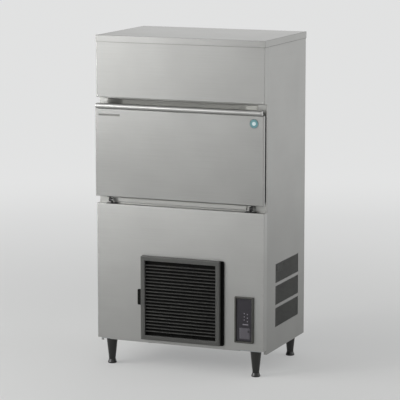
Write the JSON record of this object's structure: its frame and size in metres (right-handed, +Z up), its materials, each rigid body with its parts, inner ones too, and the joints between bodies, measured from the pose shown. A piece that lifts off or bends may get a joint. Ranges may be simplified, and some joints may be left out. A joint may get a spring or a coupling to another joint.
{
  "type": "ice cube machine",
  "caption": "Upright stainless ice cube machine with a drop-down bin door, air grille, control panel and adjustable legs.",
  "frame": {"origin": "on the floor, midway between the sides and between the foremost and rearmost points", "axes": "+X to the right of someone facing the machine, +Y to the rear, +Z up"},
  "size_m": [0.704, 0.506, 1.305],
  "materials": {
    "brushed_steel": "horizontal fine grain",
    "polished_steel": "smooth satin",
    "grey_strip": "satin",
    "galvanised": "zinc coated",
    "white_plastic": "moulded",
    "foam": "foamed",
    "black_rubber": "matte",
    "black_metal": "semi-gloss",
    "bright_steel": "plated",
    "copper": "tinned copper",
    "grey_plastic": "moulded",
    "smoked_plate": "smoked",
    "button_black": "smooth",
    "lens": "clear",
    "leg_plastic": "moulded"
  },
  "bodies": {
    "cabinet": {"actuator_motor": "grey_plastic", "base_pan": "galvanised", "bin_liner": "white_plastic", "cabinet_hinges": "black_metal", "cabinet_insulation": "foam", "cable_gland": "black_rubber", "compressor": "black_metal", "condenser": "galvanised", "control_bezel": "grey_plastic", "control_box": "galvanised", "control_plate": "smoked_plate", "drain_pipe": "polished_steel", "evaporator": "copper", "evaporator_tube": "copper", "fan_motor": "grey_plastic", "fan_shroud": "black_metal", "filter_housing": "black_metal", "finger_pocket": "brushed_steel", "front_frame": "brushed_steel", "grille_frame": "grey_plastic", "hinge_pins": "bright_steel", "ice_level_sensor": "white_plastic", "indicator_lenses": "lens", "inlet_fitting": "bright_steel", "left_side_panel": "brushed_steel", "leg_nuts": "bright_steel", "legs": "leg_plastic", "lower_front_panel": "brushed_steel", "panel_screws": "bright_steel", "pivot_pins": "bright_steel", "rear_panel": "galvanised", "right_side_panel": "brushed_steel", "service_cover": "polished_steel", "supply_pipe": "copper", "top_cover": "brushed_steel", "unit_bracket": "galvanised", "upper_front_panel": "brushed_steel", "water_valve": "grey_plastic"},
    "door": {"door_skin": "brushed_steel", "door_liner": "white_plastic", "door_insulation": "foam", "door_gasket": "black_rubber", "door_grip": "polished_steel", "grip_end_caps": "polished_steel", "name_strip": "grey_strip", "round_badge": "polished_steel", "door_hinges": "black_metal"},
    "filter": {"air_filter": "grey_plastic"},
    "fan_wheel": {"fan": "black_metal"},
    "water_tray": {"water_plate": "white_plastic", "water_tank": "white_plastic", "water_pump": "grey_plastic", "pump_hose": "black_rubber", "tray_springs": "bright_steel"},
    "cams": {"cam_arms": "white_plastic"},
    "button": {"reset_button": "button_black"},
    "foot_front_left": {"front_left_foot": "leg_plastic"},
    "foot_front_right": {"front_right_foot": "leg_plastic"},
    "foot_rear_left": {"rear_left_foot": "leg_plastic"},
    "foot_rear_right": {"rear_right_foot": "leg_plastic"}
  },
  "joints": [
    {"name": "door_hinge", "type": "hinge", "parent": "cabinet", "child": "door", "pos_m": [0, -0.222, 0.661], "axis": [1, 0, 0], "range_deg": [0, 90]},
    {"name": "filter_slide", "type": "slide", "parent": "cabinet", "child": "filter", "axis": [-1, 0, 0], "range_m": [0, 0.335]},
    {"name": "fan_spin", "type": "hinge", "parent": "cabinet", "child": "fan_wheel", "pos_m": [0.0093, -0.1177, 0.285], "axis": [0, 1, 0], "continuous": true},
    {"name": "tray_tilt", "type": "hinge", "parent": "cabinet", "child": "water_tray", "pos_m": [-0.18975, 0.0062, 1.1842], "axis": [0, 1, 0], "range_deg": [0, 14.6]},
    {"name": "cam_turn", "type": "hinge", "parent": "cabinet", "child": "cams", "pos_m": [0.20445, 0.0062, 1.2102], "axis": [0, 1, 0], "range_deg": [0, 192.6]},
    {"name": "button_press", "type": "slide", "parent": "cabinet", "child": "button", "axis": [0, 1, 0], "range_m": [0, 0.002], "stiffness_N_per_m": 300, "springref_m": -0.001},
    {"name": "front_left_foot_slide", "type": "slide", "parent": "cabinet", "child": "foot_front_left", "axis": [0, 0, -1], "range_m": [0, 0.03]},
    {"name": "front_right_foot_slide", "type": "slide", "parent": "cabinet", "child": "foot_front_right", "axis": [0, 0, -1], "range_m": [0, 0.03]},
    {"name": "rear_left_foot_slide", "type": "slide", "parent": "cabinet", "child": "foot_rear_left", "axis": [0, 0, -1], "range_m": [0, 0.03]},
    {"name": "rear_right_foot_slide", "type": "slide", "parent": "cabinet", "child": "foot_rear_right", "axis": [0, 0, -1], "range_m": [0, 0.03]}
  ],
  "couplings": [
    {"joint": "cam_turn", "follows": "tray_tilt", "ratio": 13.185}
  ]
}
